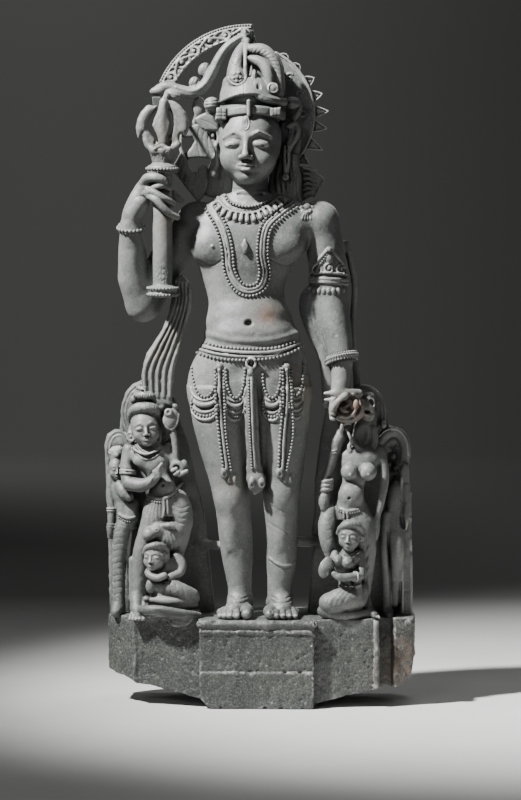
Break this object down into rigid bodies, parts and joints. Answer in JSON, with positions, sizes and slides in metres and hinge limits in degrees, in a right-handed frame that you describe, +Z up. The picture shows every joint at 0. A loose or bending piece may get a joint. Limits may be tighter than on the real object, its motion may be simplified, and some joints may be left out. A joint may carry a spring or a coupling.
{
  "type": "carved stone figure of Shiva",
  "caption": "Carved stone stele of a standing four-part group: Shiva with a trident and a lowered hand, small attendants at either side, halo, broken arch and stepped base.",
  "frame": {"origin": "middle of the flat part of the underside, under the standing figure", "axes": "+X to the viewer's right as the stele is faced, -Y towards the viewer, +Z up"},
  "size_m": [0.5467, 0.1946, 1.1848],
  "materials": {
    "stone": "matte"
  },
  "bodies": {
    "root": {"shiva_stele": "stone"}
  },
  "joints": []
}
